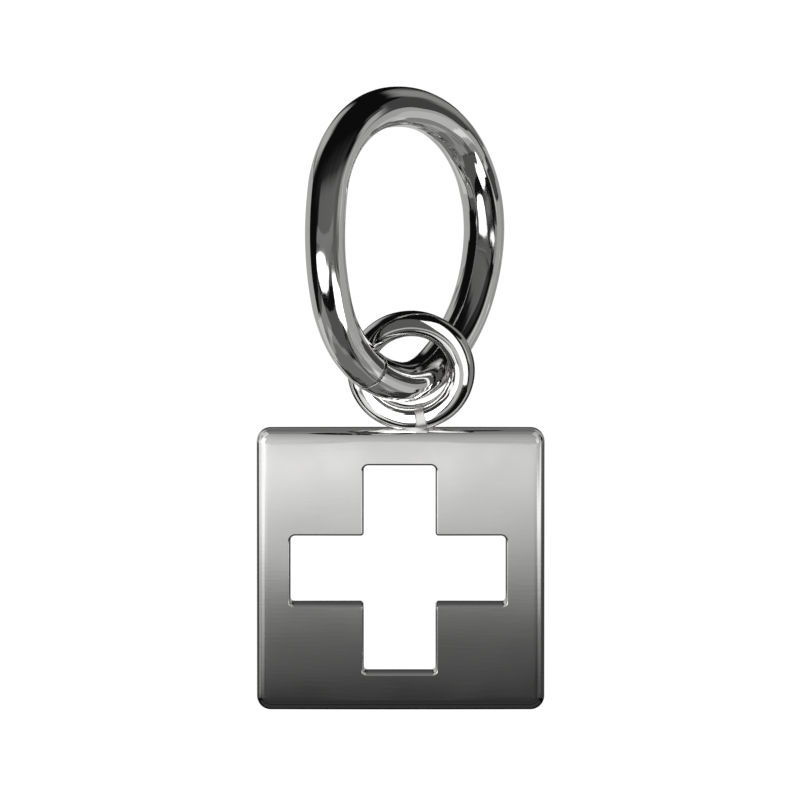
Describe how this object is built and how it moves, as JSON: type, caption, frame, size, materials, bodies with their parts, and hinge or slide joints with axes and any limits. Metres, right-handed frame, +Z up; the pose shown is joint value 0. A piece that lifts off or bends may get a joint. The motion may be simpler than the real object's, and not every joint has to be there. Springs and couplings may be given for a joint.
{
  "type": "pierced cross pendant charm",
  "caption": "Square metal charm pierced by an equal-armed cross, on a soldered jump ring hung from an oval wire bail.",
  "frame": {"origin": "hang point, at the inside top of the bail's eye, where a chain or a clasp carries the charm", "axes": "+Z up; +X to the right seen from the front, along the plate's width; -Y towards the front, square to the plate"},
  "size_m": [0.0112, 0.0082, 0.0251],
  "materials": {
    "plate_metal": "mirror-polished sterling silver with faint polishing lines",
    "bail_metal": "bright polished sterling silver wire, bent by hand"
  },
  "bodies": {
    "bail": {"bail": "bail_metal"},
    "pendant": {"cross_pendant": "plate_metal"}
  },
  "joints": [
    {"name": "pendant_turn", "type": "hinge", "parent": "bail", "child": "pendant", "pos_m": [0.00109, 0.00113, -0.00989], "axis": [0, 0, 1], "range_deg": [-80, 0]}
  ]
}
